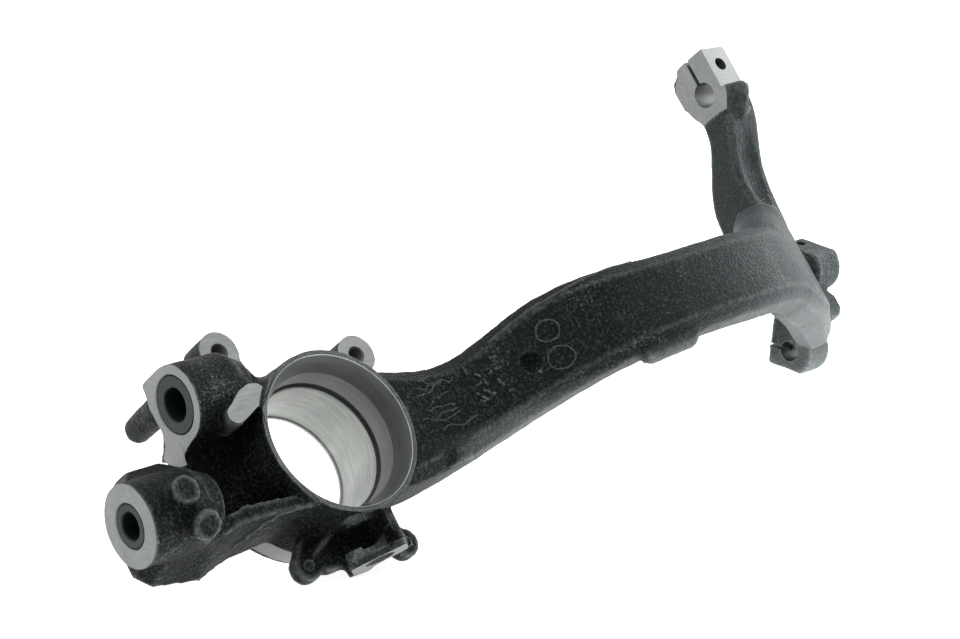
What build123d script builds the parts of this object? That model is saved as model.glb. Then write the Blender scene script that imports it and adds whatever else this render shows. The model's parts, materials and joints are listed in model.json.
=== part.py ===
from build123d import *

from math import cos, radians, sin, sqrt
import os

# Left front steering knuckle for a four-link axle.
# +X is forward, +Y is outboard along the wheel axis, +Z is up.
# The Y values below are measured from the plane of the inboard bore rim. The
# finished pieces are then moved so that the origin is the middle of the bearing seat.

os.makedirs("parts", exist_ok=True)

# ---- bearing housing -------------------------------------------------
RIM_BORE_R = 42.0
ENTRY_CONE_LENGTH = 12.0
ENTRY_BORE_R = 37.6
CIRCLIP_Y = 24.5
CIRCLIP_WIDTH = 3.0
CIRCLIP_DEPTH = 2.4
SEAT_R = 36.0
SEAT_LENGTH = 35.0
LIP_R = 35.0
LIP_WIDTH = 2.0
HOUSING_LENGTH = CIRCLIP_Y + CIRCLIP_WIDTH + SEAT_LENGTH + LIP_WIDTH
SEAT_MIDDLE_Y = CIRCLIP_Y + CIRCLIP_WIDTH + SEAT_LENGTH / 2
RIM_WALL = 2.8
WALL_R = 46.5
WALL_Y = 24.0
BARREL_MAX_R = 51.0
BARREL_MAX_Y = 50.0
BARREL_R = 48.0
BARREL_EDGE = 1.5

# ---- neck: stations from the housing to the head ---------------------
ROOT_Z = 36.0
ROOT_X = 5.0
ROOT_Y = 31.0
ROOT_WIDTH = 64.0
ROOT_DEPTH = 46.0
COLLAR_RISE = 39.0
COLLAR_Z = ROOT_Z + COLLAR_RISE
COLLAR_X = 6.0
COLLAR_Y = 23.0
COLLAR_WIDTH = 56.0
COLLAR_DEPTH = 40.0
LOWER_RISE = 32.0
LOWER_Z = COLLAR_Z + LOWER_RISE
LOWER_X = 3.0
LOWER_Y = 8.0
LOWER_WIDTH = 52.0
LOWER_DEPTH = 33.0
WAIST_RISE = 32.0
WAIST_Z = LOWER_Z + WAIST_RISE
WAIST_X = -4.0
WAIST_Y = -11.0
WAIST_WIDTH = 56.0
WAIST_DEPTH = 31.0
CURVE_RISE = 45.0
CURVE_Z = WAIST_Z + CURVE_RISE
CURVE_X = -6.0
CURVE_Y = -36.0
CURVE_WIDTH = 53.0
BULGE_RISE = 41.0
BULGE_Z = CURVE_Z + BULGE_RISE
BULGE_X = -2.8
BULGE_Y = -54.0
CREST_RISE = 42.0
CREST_Z = BULGE_Z + CREST_RISE
CREST_X = -2.0
CREST_Y = -59.0
BULGE_WIDTH = 49.0
NECK_DEPTH = 30.0
TURN_RISE = 43.0
TURN_Z = CREST_Z + TURN_RISE
TURN_Y = -43.0
TURN_FRONT_X = 24.0
TURN_REAR_X = -39.5
SHOULDER_RISE = 37.0
SHOULDER_Z = TURN_Z + SHOULDER_RISE
SHOULDER_Y = -19.0
SHOULDER_FRONT_X = 30.0
SHOULDER_REAR_X = -54.0
HEAD_RISE = 38.0
HEAD_Z = SHOULDER_Z + HEAD_RISE
HEAD_Y = 15.0
HEAD_FRONT_X = 36.0
HEAD_REAR_X = -34.0
HEAD_DEPTH = 24.0
NECK_CORNER = 7.5
LOW_LUG_X = 31.0
LOW_LUG_Y = 10.0
LOW_LUG_Z = 70.0
LOW_LUG_R = 8.0
LOW_LUG_REACH = 4.0
HIGH_LUG_X = 21.0
HIGH_LUG_Y = -47.0
HIGH_LUG_Z = 195.0
HIGH_LUG_LENGTH = 34.0
HIGH_LUG_WIDTH = 11.0
HIGH_LUG_HEIGHT = 12.0
HIGH_LUG_EDGE = 3.0
HIGH_LUG_DEG = 21.0

# ---- head: two vertical pinch clamps on one diagonal bolt --------------
REAR_CLAMP_X = -12.0
REAR_CLAMP_Y = 1.0
FRONT_CLAMP_X = 27.0
FRONT_CLAMP_Y = 40.0
CLAMP_STEP = 1.0
CLAMP_BOTTOM_Z = HEAD_Z + CLAMP_STEP
CLAMP_HEIGHT = 21.0
CLAMP_R = 16.5
CLAMP_BORE_R = 6.5
CLAMP_SLIT = 2.4
PINCH_OFFSET = 9.0
PINCH_HOLE_R = 3.4
PINCH_EAR = 16.0
PINCH_HALF_WIDTH = 13.0
PINCH_LINE_DEG = 45.0
CLAMP_WEB_BACK = 10.0
CLAMP_WEB_DROP = 4.0
HEAD_LUG_X = 14.5
HEAD_LUG_Y = 6.0
HEAD_LUG_LENGTH = 20.0
HEAD_LUG_WIDTH = 12.0
HEAD_LUG_DROP = 7.0
HEAD_LUG_BOTTOM_Z = HEAD_Z - HEAD_LUG_DROP
HEAD_LUG_HEIGHT = 25.5
HEAD_LUG_EDGE = 5.0

# ---- steering arm ------------------------------------------------------
ARM_DROP = 26.5
ARM_BOTTOM_Z = HEAD_Z - ARM_DROP
ARM_HEIGHT = 28.0
ARM_CORNER = 3.0
ARM_ROOT_X = -24.0
ARM_ROOT_OUTER_Y = 20.0
ARM_ROOT_INNER_Y = -13.5
ARM_ROOT_LEAN = 24.0
ARM_BEND_X = -46.0
ARM_BEND_OUTER_Y = 21.0
ARM_BEND_INNER_Y = -15.0
ARM_BEND_LEAN = 12.0
ARM_THROAT_X = -66.0
ARM_THROAT_OUTER_Y = 20.0
ARM_THROAT_INNER_Y = -13.5
ARM_THROAT_LEAN = 3.0
ARM_MID_X = -87.0
ARM_MID_OUTER_Y = 8.0
ARM_MID_INNER_Y = -18.5
ARM_END_X = -106.0
ARM_END_OUTER_Y = -4.0
ARM_END_INNER_Y = -28.5
ARM_TIP_X = -123.0
ARM_TIP_OUTER_Y = -6.0
ARM_TIP_INNER_Y = -32.0
TIE_X = -132.0
TIE_Y = -20.0
TIE_STEP = 1.5
TIE_BOTTOM_Z = ARM_BOTTOM_Z + TIE_STEP
TIE_HEIGHT = 20.5
TIE_R = 18.0
TIE_BORE_R = 8.0
TIE_SLIT = 2.6
TIE_FACE = 15.0
TIE_BACK = 20.0
TIE_TAIL = 25.0
TIE_SLOPE_X = 6.0
TIE_SLOPE_Y = 15.0
TIE_CORNER_R = 4.0
TIE_PINCH_OFFSET = 12.5
TIE_PINCH_HOLE_R = 4.3
POCKET_DEPTH = 4.0
POCKET_TIP_X = -101.0
POCKET_TIP_HEIGHT = 9.0
POCKET_HEIGHT = 15.0
POCKET_ROOT_HEIGHT = 7.0
PAD_X = -117.0
PAD_LIFT = 11.5
PAD_R = 5.0
PAD_RISE = 2.5

# ---- lower ball joint bosses and their pressed-in bushes ---------------
REAR_BOSS_X = -42.0
REAR_BOSS_Y = 20.0
REAR_BOSS_FACE_Z = -72.0
REAR_BOSS_R = 20.5
REAR_BOSS_LENGTH = 28.0
REAR_BOSS_BACK_Y = 39.0
REAR_TAIL_FRONT_X = -16.0
REAR_TAIL_BACK_Y = 53.0
REAR_TAIL_REAR_X = -36.0
REAR_TAIL_TIP_X = -24.0
REAR_BUSH_R = 15.4
REAR_BUSH_BORE_R = 8.7
REAR_BUSH_LENGTH = 30.0
FRONT_BOSS_X = 10.0
FRONT_BOSS_Y = 20.0
FRONT_BOSS_FACE_Z = -124.5
FRONT_BOSS_R = 21.0
FRONT_BOSS_LENGTH = 34.0
FRONT_BUSH_R = 11.5
FRONT_BUSH_BORE_R = 7.0
FRONT_BUSH_LENGTH = 30.0
BUSH_SET_BACK = 0.3
BOSS_CROWN = 12.0
BOSS_CROWN_SHRINK = 0.7
BUSH_TAPER = 10.0

# ---- lower web -----------------------------------------------------------
WEB_Y = 32.0
WEB_THICKNESS = 14.0
FLANGE_RIM_Y = 4.0
FLANGE_RIM_Z = -46.0
FLANGE_LEAN = 0.33
FLANGE_THICKNESS = 8.0
FLANGE_TOP_Z = -34.0
FLANGE_TOP_X = 33.0
FLANGE_WAIST_Z = -66.0
FLANGE_WAIST_INNER_X = 27.0
FLANGE_WAIST_OUTER_X = 35.5
FLANGE_KNEE_Z = -86.0
FLANGE_KNEE_INNER_X = 29.5
FLANGE_KNEE_OUTER_X = 41.0
FLANGE_TOE_Z = -111.0
FLANGE_TOE_INNER_X = 31.0
FLANGE_TOE_OUTER_X = 37.0
FLANGE_FOOT_Z = -119.5
FLANGE_FOOT_INNER_X = 22.0
FLANGE_FOOT_OUTER_X = 29.0
LUMP_X = -1.0
LUMP_Y = 33.0
LUMP_WIDTH = 34.0
LUMP_DEPTH = 24.0
LUMP_FOOT_Z = -116.0
LUMP_HEIGHT = 32.0
LUMP_EDGE = 6.0
BOSS_PAD_RISE = 2.0
SIDE_PAD_R = 6.5
SIDE_PAD_Z = -105.0
SIDE_PAD_DEG = -98.0
FRONT_PAD_R = 6.0
FRONT_PAD_Z = -95.0
FRONT_PAD_DEG = -38.0

# ---- ears, shield flange and sensor pad ----------------------------------
EAR_FACE_Y = 30.0
EAR_R = 11.5
EAR_LENGTH = 20.0
EAR_HOLE_R = 4.3
EAR_NECK_WIDTH = 18.0
LOWER_EAR_X = -66.0
LOWER_EAR_Z = -26.0
UPPER_EAR_X = -45.0
UPPER_EAR_Z = 55.5
STUB_X = -50.0
STUB_Z = -63.0
STUB_END_Y = 76.0
STUB_ROOT_R = 8.6
STUB_END_R = 7.2
STUB_EDGE = 2.5
SHIELD_Y = 28.0
SHIELD_THICKNESS = 9.0
SHIELD_LUG_R = 8.0
SHIELD_ARM_WIDTH = 9.5
SHIELD_HOLE_R = 2.6
LOWER_SHIELD_X = 55.0
LOWER_SHIELD_Z = -33.8
UPPER_SHIELD_X = 60.6
UPPER_SHIELD_Z = 28.7
SENSOR_FACE_X = 67.5
SENSOR_Y = 10.0
SENSOR_Z = -6.0
SENSOR_HOLE_R = 8.0
SENSOR_PAD_LENGTH = 31.0
SENSOR_PAD_WIDTH = 20.0
SENSOR_PAD_DEG = 127.0
SENSOR_PAD_CORNER_R = 6.0
SENSOR_PAD_THICKNESS = 9.0
SENSOR_FOOT_WIDTH = 13.0
SENSOR_RIB_Y = 1.0
SENSOR_RIB_Z = 5.5
SENSOR_RIB_THICKNESS = 5.0
SENSOR_RIB_SET_BACK = 1.5
SKIRT_SET_BACK = 6.0
SPOT_X = -27.0
SPOT_Z = -47.0
SPOT_LENGTH = 30.0
SPOT_WIDTH = 11.0
SPOT_DEG = 117.0
SPOT_FACE_Y = -0.5
SPOT_DEPTH = 16.0


def housing():
    """Turned barrel around the wheel axis, before boring."""
    outline = Polyline(
        (0, 0),
        (RIM_BORE_R + RIM_WALL, 0),
        (WALL_R, WALL_Y),
        (BARREL_MAX_R, BARREL_MAX_Y),
        (BARREL_R, HOUSING_LENGTH - BARREL_EDGE),
        (BARREL_R - BARREL_EDGE, HOUSING_LENGTH),
        (0, HOUSING_LENGTH),
        (0, 0),
    )
    return revolve(make_face(outline), Axis.Y)


def bearing_bore():
    """Cone entry, relief, circlip groove, bearing seat and retaining lip."""
    groove_end = CIRCLIP_Y + CIRCLIP_WIDTH
    seat_end = groove_end + SEAT_LENGTH
    outline = Polyline(
        (0, -RIM_WALL),
        (RIM_BORE_R, -RIM_WALL),
        (RIM_BORE_R, 0),
        (ENTRY_BORE_R, ENTRY_CONE_LENGTH),
        (ENTRY_BORE_R, CIRCLIP_Y),
        (SEAT_R + CIRCLIP_DEPTH, CIRCLIP_Y),
        (SEAT_R + CIRCLIP_DEPTH, groove_end),
        (SEAT_R, groove_end),
        (SEAT_R, seat_end),
        (LIP_R, seat_end),
        (LIP_R, HOUSING_LENGTH + RIM_WALL),
        (0, HOUSING_LENGTH + RIM_WALL),
        (0, -RIM_WALL),
    )
    return revolve(make_face(outline), Axis.Y)


def neck_section(x, y, z, width, depth, below, above):
    """Eight-sided section square to the neck's run from one station to the next."""
    run = Vector(0, above[0] - below[0], above[1] - below[1])
    plane = Plane(origin=(x, y, z), x_dir=(1, 0, 0), z_dir=run)
    outline = Rectangle(width, depth)
    return plane * chamfer(outline.vertices(), NECK_CORNER)


def neck():
    """Goose neck lofted from the housing up to the shoulder."""
    turn_x = (TURN_FRONT_X + TURN_REAR_X) / 2
    turn_width = TURN_FRONT_X - TURN_REAR_X
    root = (ROOT_Y, ROOT_Z)
    collar = (COLLAR_Y, COLLAR_Z)
    lower = (LOWER_Y, LOWER_Z)
    waist = (WAIST_Y, WAIST_Z)
    rise = (CURVE_Y, CURVE_Z)
    bulge = (BULGE_Y, BULGE_Z)
    crest = (CREST_Y, CREST_Z)
    turn = (TURN_Y, TURN_Z)
    shoulder = (SHOULDER_Y, SHOULDER_Z)
    sections = [
        neck_section(ROOT_X, *root, ROOT_WIDTH, ROOT_DEPTH, root, collar),
        neck_section(COLLAR_X, *collar, COLLAR_WIDTH, COLLAR_DEPTH, root, lower),
        neck_section(LOWER_X, *lower, LOWER_WIDTH, LOWER_DEPTH, collar, waist),
        neck_section(WAIST_X, *waist, WAIST_WIDTH, WAIST_DEPTH, lower, rise),
        neck_section(CURVE_X, *rise, CURVE_WIDTH, NECK_DEPTH, waist, bulge),
        neck_section(BULGE_X, *bulge, BULGE_WIDTH, NECK_DEPTH, rise, crest),
        neck_section(CREST_X, *crest, BULGE_WIDTH, NECK_DEPTH, bulge, turn),
        neck_section(turn_x, *turn, turn_width, NECK_DEPTH, crest, shoulder),
    ]
    return loft(sections)


def head():
    """Shoulder turning outboard over the tyre to carry the clamps."""
    turn_x = (TURN_FRONT_X + TURN_REAR_X) / 2
    turn_width = TURN_FRONT_X - TURN_REAR_X
    shoulder_x = (SHOULDER_FRONT_X + SHOULDER_REAR_X) / 2
    shoulder_width = SHOULDER_FRONT_X - SHOULDER_REAR_X
    head_x = (HEAD_FRONT_X + HEAD_REAR_X) / 2
    head_width = HEAD_FRONT_X - HEAD_REAR_X
    crest = (CREST_Y, CREST_Z)
    turn = (TURN_Y, TURN_Z)
    shoulder = (SHOULDER_Y, SHOULDER_Z)
    end = (HEAD_Y, HEAD_Z)
    lower = neck_section(turn_x, *turn, turn_width, NECK_DEPTH, crest, shoulder)
    middle = neck_section(shoulder_x, *shoulder, shoulder_width, NECK_DEPTH, turn, end)
    upper = neck_section(head_x, *end, head_width, HEAD_DEPTH, shoulder, end)
    return loft([lower, middle], ruled=True) + loft([middle, upper], ruled=True)


def neck_lugs():
    """Two cast locating lugs on the neck's front edge."""
    low = Pos(LOW_LUG_X, LOW_LUG_Y, LOW_LUG_Z) * Rot(0, 90, 0)
    low = low * Cylinder(LOW_LUG_R, 2 * LOW_LUG_REACH)
    high = Box(HIGH_LUG_HEIGHT, HIGH_LUG_WIDTH, HIGH_LUG_LENGTH)
    high = chamfer(high.faces().sort_by(Axis.X)[-1].edges(), HIGH_LUG_EDGE)
    return low + Pos(HIGH_LUG_X, HIGH_LUG_Y, HIGH_LUG_Z) * Rot(HIGH_LUG_DEG, 0, 0) * high


def pinch_frame(x, y):
    """Plane on a clamp axis: local X along the slit, local Y along the bolt."""
    slit = (-sin(radians(PINCH_LINE_DEG)), cos(radians(PINCH_LINE_DEG)), 0)
    return Plane(origin=(x, y, CLAMP_BOTTOM_Z), x_dir=slit, z_dir=(0, 0, 1))


def pinch_clamp(x, y):
    """Round boss with a squared ear for the pinch bolt."""
    width = 2 * PINCH_HALF_WIDTH
    flats = Rectangle(2 * CLAMP_R, width)
    outline = (Circle(CLAMP_R) & flats) + Pos(PINCH_EAR / 2, 0) * Rectangle(PINCH_EAR, width)
    return pinch_frame(x, y) * extrude(outline, CLAMP_HEIGHT)


def pinch_clamp_cuts(x, y):
    """Pin bore and slit through one clamp."""
    overrun = CLAMP_HEIGHT / 2
    reach = 2 * PINCH_EAR
    tall = CLAMP_HEIGHT + 2 * overrun
    bore = Pos(0, 0, tall / 2 - overrun) * Cylinder(CLAMP_BORE_R, tall)
    slit = Pos(reach / 2, 0, tall / 2 - overrun) * Box(reach, CLAMP_SLIT, tall)
    return pinch_frame(x, y) * (bore + slit)


def pinch_bolt_hole():
    """One straight hole through both clamps, beside the pin bores."""
    slit = (-sin(radians(PINCH_LINE_DEG)), cos(radians(PINCH_LINE_DEG)))
    mid_x = (REAR_CLAMP_X + FRONT_CLAMP_X) / 2 + PINCH_OFFSET * slit[0]
    mid_y = (REAR_CLAMP_Y + FRONT_CLAMP_Y) / 2 + PINCH_OFFSET * slit[1]
    mid_z = CLAMP_BOTTOM_Z + CLAMP_HEIGHT / 2
    line = Plane(origin=(mid_x, mid_y, mid_z), z_dir=(slit[1], -slit[0], 0))
    span = sqrt((FRONT_CLAMP_X - REAR_CLAMP_X) ** 2 + (FRONT_CLAMP_Y - REAR_CLAMP_Y) ** 2)
    return line * Cylinder(PINCH_HOLE_R, span + 4 * PINCH_HALF_WIDTH)


def clamp_web():
    """Bar joining the two clamps, and the lug standing on the head's front edge."""
    span = sqrt((FRONT_CLAMP_X - REAR_CLAMP_X) ** 2 + (FRONT_CLAMP_Y - REAR_CLAMP_Y) ** 2)
    height = CLAMP_HEIGHT - CLAMP_WEB_DROP
    bar_x = (PINCH_EAR - CLAMP_WEB_BACK) / 2
    bar = Pos(bar_x, span / 2, height / 2) * Box(PINCH_EAR + CLAMP_WEB_BACK, span, height)
    frame = pinch_frame(REAR_CLAMP_X, REAR_CLAMP_Y)
    towards = (FRONT_CLAMP_X - REAR_CLAMP_X) * frame.y_dir.X
    bar = frame * (bar if towards > 0 else mirror(bar, Plane.XZ))
    lug_z = HEAD_LUG_BOTTOM_Z + HEAD_LUG_HEIGHT / 2
    lug = Box(HEAD_LUG_LENGTH, HEAD_LUG_WIDTH, HEAD_LUG_HEIGHT)
    lug = chamfer(lug.edges().filter_by(Axis.Y).group_by(Axis.Z)[-1], HEAD_LUG_EDGE)
    return bar + Pos(HEAD_LUG_X, HEAD_LUG_Y, lug_z) * lug


def arm_section(x, outer_y, inner_y, lean=0.0):
    """Section of the arm square to X: lean is how far its inboard face runs in at the bottom."""
    plane = Plane(origin=(x, 0, ARM_BOTTOM_Z), x_dir=(0, 1, 0), z_dir=(1, 0, 0))
    outline = Polygon(
        (outer_y, 0),
        (outer_y, ARM_HEIGHT),
        (inner_y + lean / 2, ARM_HEIGHT),
        (inner_y - lean / 2, 0),
        align=None,
    )
    return plane * chamfer(outline.vertices(), ARM_CORNER)


def steering_arm():
    """Arm lofted rearward from the head to the tie rod clamp."""
    return loft(
        [
            arm_section(ARM_ROOT_X, ARM_ROOT_OUTER_Y, ARM_ROOT_INNER_Y, ARM_ROOT_LEAN),
            arm_section(ARM_BEND_X, ARM_BEND_OUTER_Y, ARM_BEND_INNER_Y, ARM_BEND_LEAN),
            arm_section(ARM_THROAT_X, ARM_THROAT_OUTER_Y, ARM_THROAT_INNER_Y, ARM_THROAT_LEAN),
            arm_section(ARM_MID_X, ARM_MID_OUTER_Y, ARM_MID_INNER_Y),
            arm_section(ARM_END_X, ARM_END_OUTER_Y, ARM_END_INNER_Y),
            arm_section(ARM_TIP_X, ARM_TIP_OUTER_Y, ARM_TIP_INNER_Y),
        ]
    )


def pocket_section(x, inner_y, height):
    """Rounded section of the pocket, centred on the arm's inboard face."""
    mid_z = ARM_BOTTOM_Z + ARM_HEIGHT / 2
    plane = Plane(origin=(x, inner_y, mid_z), x_dir=(0, 1, 0), z_dir=(1, 0, 0))
    return plane * Ellipse(POCKET_DEPTH, height / 2)


def arm_pocket():
    """Long scoop in the arm's inboard face, widest near the tie rod clamp."""
    return loft(
        [
            pocket_section(POCKET_TIP_X, ARM_END_INNER_Y, POCKET_TIP_HEIGHT),
            pocket_section(ARM_MID_X, ARM_MID_INNER_Y, POCKET_HEIGHT),
            pocket_section(ARM_THROAT_X, ARM_THROAT_INNER_Y, POCKET_HEIGHT),
            pocket_section(ARM_BEND_X, ARM_BEND_INNER_Y, POCKET_ROOT_HEIGHT),
        ],
        ruled=True,
    )


def tie_clamp():
    """Round clamp on the arm's end with flats for the pinch bolt."""
    ear = Polygon(
        (0, TIE_BACK),
        (TIE_SLOPE_X - TIE_TAIL, TIE_BACK),
        (-TIE_TAIL, TIE_BACK - TIE_SLOPE_Y),
        (-TIE_TAIL, -TIE_FACE),
        (0, -TIE_FACE),
        align=None,
    )
    ear = fillet(ear.vertices().sort_by(Axis.X)[0:3], TIE_CORNER_R)
    body = Pos(TIE_X, TIE_Y, TIE_BOTTOM_Z) * extrude(Circle(TIE_R) + ear, TIE_HEIGHT)
    face_y = TIE_Y - TIE_FACE
    pad = Pos(PAD_X, ARM_TIP_INNER_Y, ARM_BOTTOM_Z + PAD_LIFT) * Rot(90, 0, 0)
    pad = pad * Cylinder(PAD_R, 2 * PAD_RISE)
    spot = Pos(TIE_X - TIE_TAIL, face_y - TIE_R / 2, TIE_BOTTOM_Z + TIE_HEIGHT / 2)
    spot = spot * Box(2 * TIE_TAIL - TIE_BORE_R, TIE_R, 2 * TIE_HEIGHT)
    return body + pad - spot


def tie_clamp_cuts():
    """Pin bore, slit and pinch bolt hole of the tie rod clamp."""
    mid_z = TIE_BOTTOM_Z + TIE_HEIGHT / 2
    bore = Pos(TIE_X, TIE_Y, mid_z) * Cylinder(TIE_BORE_R, 2 * TIE_HEIGHT)
    slit = Pos(TIE_X - TIE_TAIL, TIE_Y, mid_z) * Box(2 * TIE_TAIL, TIE_SLIT, 2 * TIE_HEIGHT)
    hole = Pos(TIE_X - TIE_PINCH_OFFSET, TIE_Y, mid_z) * Rot(90, 0, 0)
    return bore + slit + hole * Cylinder(TIE_PINCH_HOLE_R, 4 * TIE_BACK)


def ball_joint_boss(x, y, face_z, radius, length):
    """Round boss on its machined lower face, its top drawn in towards the housing."""
    crown = Pos(x, y, face_z + length + BOSS_CROWN / 2) * Cone(
        radius, radius * BOSS_CROWN_SHRINK, BOSS_CROWN
    )
    return Pos(x, y, face_z + length / 2) * Cylinder(radius, length) + crown


def rear_boss():
    """Rear ball joint boss with its squared back and the tail beside it."""
    left_x = REAR_BOSS_X - REAR_BOSS_R
    right_x = REAR_BOSS_X + REAR_BOSS_R
    back = Polyline(
        (left_x, REAR_BOSS_Y),
        (left_x, REAR_BOSS_BACK_Y),
        (REAR_TAIL_REAR_X, REAR_BOSS_BACK_Y),
        (REAR_TAIL_TIP_X, REAR_TAIL_BACK_Y),
        (REAR_TAIL_FRONT_X, REAR_BOSS_BACK_Y),
        (right_x, REAR_BOSS_Y),
        (left_x, REAR_BOSS_Y),
    )
    block = extrude(Pos(0, 0, REAR_BOSS_FACE_Z) * make_face(back), REAR_BOSS_LENGTH)
    boss = ball_joint_boss(
        REAR_BOSS_X, REAR_BOSS_Y, REAR_BOSS_FACE_Z, REAR_BOSS_R, REAR_BOSS_LENGTH
    )
    return boss + block


def bush(x, y, face_z, radius, bore_r, length):
    """Hardened bush with a tapered bore, pressed in from below."""
    bottom_z = face_z + BUSH_SET_BACK
    body = Pos(x, y, bottom_z + length / 2) * Cylinder(radius, length)
    slope = length / BUSH_TAPER / 2
    bore = Pos(x, y, bottom_z + length / 2) * Cone(bore_r, bore_r - slope, length)
    return body - bore


def bush_seat(x, y, face_z, radius, length):
    """Blind counterbore the bush is pressed into, open at the machined face."""
    depth = BUSH_SET_BACK + length
    return Pos(x, y, face_z + depth / 2) * Cylinder(radius, depth)


def lower_web():
    """Plate tying both bosses to the housing."""
    web = Polyline(
        (REAR_BOSS_X, 0),
        (REAR_BOSS_X - REAR_BOSS_R / 2, REAR_BOSS_FACE_Z + REAR_BOSS_LENGTH / 2),
        (REAR_TAIL_TIP_X, REAR_BOSS_FACE_Z),
        (FRONT_BOSS_X - FRONT_BOSS_R, FRONT_BOSS_FACE_Z + FRONT_BOSS_LENGTH / 2),
        (FRONT_BOSS_X, FLANGE_FOOT_Z),
        (FLANGE_FOOT_INNER_X, FLANGE_FOOT_Z),
        (FLANGE_TOP_X, FLANGE_TOP_Z),
        (REAR_BOSS_X, 0),
    )
    back_y = WEB_Y + WEB_THICKNESS
    return extrude(Plane.XZ.offset(-back_y) * make_face(web), WEB_THICKNESS)


def flange_section(plane, front):
    """Strip of the flange's thickness behind its front edge, drawn on one plane."""
    back = [(x - FLANGE_THICKNESS, rise) for x, rise in reversed(front)]
    return plane * Polygon(*front, *back, align=None)


def lower_flange():
    """Broad curved flange down the web's front edge, from the rim to the foot."""
    up = Vector(0, -FLANGE_LEAN, 1)
    inner_plane = Plane(
        origin=(0, FLANGE_RIM_Y, FLANGE_RIM_Z),
        x_dir=(1, 0, 0),
        z_dir=Vector(1, 0, 0).cross(up),
    )
    outer_plane = Plane(
        origin=(0, WEB_Y + WEB_THICKNESS, FLANGE_RIM_Z), x_dir=(1, 0, 0), z_dir=(0, -1, 0)
    )
    levels = [FLANGE_TOP_Z, FLANGE_WAIST_Z, FLANGE_KNEE_Z, FLANGE_TOE_Z, FLANGE_FOOT_Z]
    inner_x = [
        FLANGE_TOP_X,
        FLANGE_WAIST_INNER_X,
        FLANGE_KNEE_INNER_X,
        FLANGE_TOE_INNER_X,
        FLANGE_FOOT_INNER_X,
    ]
    outer_x = [
        FLANGE_TOP_X,
        FLANGE_WAIST_OUTER_X,
        FLANGE_KNEE_OUTER_X,
        FLANGE_TOE_OUTER_X,
        FLANGE_FOOT_OUTER_X,
    ]
    rises = [level - FLANGE_RIM_Z for level in levels]
    slanted = [(x, rise * up.length) for x, rise in zip(inner_x, rises)]
    upright = list(zip(outer_x, rises))
    return loft(
        [flange_section(inner_plane, slanted), flange_section(outer_plane, upright)], ruled=True
    )


def boss_lump():
    """Squared lump cast behind the front boss."""
    lump = Box(LUMP_WIDTH, LUMP_DEPTH, LUMP_HEIGHT)
    lump = chamfer(lump.faces().sort_by(Axis.X)[0].edges(), LUMP_EDGE)
    return Pos(LUMP_X, LUMP_Y, LUMP_FOOT_Z + LUMP_HEIGHT / 2) * lump


def boss_pad(z, degrees, radius):
    """Round cast pad standing out of the front boss's side."""
    reach = FRONT_BOSS_R + BOSS_PAD_RISE
    pad = Pos(reach / 2, 0, 0) * Rot(0, 90, 0) * Cylinder(radius, reach)
    return Pos(FRONT_BOSS_X, FRONT_BOSS_Y, z) * Rot(0, 0, degrees) * pad


def ear(x, z):
    """Threaded ear on the housing's rear side, its machined face inboard."""
    head = Pos(x, EAR_FACE_Y + EAR_LENGTH / 2, z) * Rot(90, 0, 0) * Cylinder(EAR_R, EAR_LENGTH)
    reach = sqrt(x * x + z * z)
    across = Plane(origin=(0, EAR_FACE_Y + EAR_LENGTH / 2, 0), x_dir=(x, 0, z), z_dir=(0, 1, 0))
    depth = EAR_LENGTH - EAR_HOLE_R
    arm = Pos(reach / 2 + SEAT_R / 2, 0, 0) * Box(reach - SEAT_R, EAR_NECK_WIDTH, depth)
    return head + across * arm


def ear_hole(x, z):
    """Tapped hole, drawn at its drill size."""
    depth = EAR_LENGTH + EAR_R
    return Pos(x, EAR_FACE_Y + depth / 2, z) * Rot(90, 0, 0) * Cylinder(EAR_HOLE_R, depth)


def boss_stub():
    """Tapered stub standing on the squared back of the rear boss."""
    root_y = REAR_BOSS_BACK_Y - STUB_EDGE
    length = STUB_END_Y - root_y
    stub = Cone(STUB_ROOT_R, STUB_END_R, length)
    stub = chamfer(stub.edges().group_by(Axis.Z)[-1], STUB_EDGE)
    return Pos(STUB_X, root_y + length / 2, STUB_Z) * Rot(-90, 0, 0) * stub


def shield_tab(x, z):
    """Radial tab with a round end for one splash shield screw."""
    mid_y = SHIELD_Y + SHIELD_THICKNESS / 2
    reach = sqrt(x * x + z * z)
    across = Plane(origin=(0, mid_y, 0), x_dir=(x, 0, z), z_dir=(0, 1, 0))
    arm = Pos((reach + SEAT_R) / 2, 0, 0) * Box(reach - SEAT_R, SHIELD_ARM_WIDTH, SHIELD_THICKNESS)
    return across * (arm + Pos(reach, 0, 0) * Cylinder(SHIELD_LUG_R, SHIELD_THICKNESS))


def shield_hole(x, z):
    """Screw hole through one tab."""
    mid_y = SHIELD_Y + SHIELD_THICKNESS / 2
    return Pos(x, mid_y, z) * Rot(90, 0, 0) * Cylinder(SHIELD_HOLE_R, 2 * SHIELD_THICKNESS)


def sensor_pad():
    """Upright pad for the wheel speed sensor, with a foot standing on the skirt."""
    face = Plane(
        origin=(SENSOR_FACE_X - SENSOR_PAD_THICKNESS, SENSOR_Y, SENSOR_Z),
        x_dir=(0, 1, 0),
        z_dir=(1, 0, 0),
    )
    pad = RectangleRounded(SENSOR_PAD_LENGTH, SENSOR_PAD_WIDTH, SENSOR_PAD_CORNER_R)
    foot_height = SHIELD_Y + SHIELD_THICKNESS / 2 - SENSOR_Y
    foot = Rectangle(foot_height, SENSOR_FOOT_WIDTH, align=(Align.MIN, Align.CENTER))
    return extrude(face * (Rot(0, 0, SENSOR_PAD_DEG) * pad + foot), SENSOR_PAD_THICKNESS)


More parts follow.
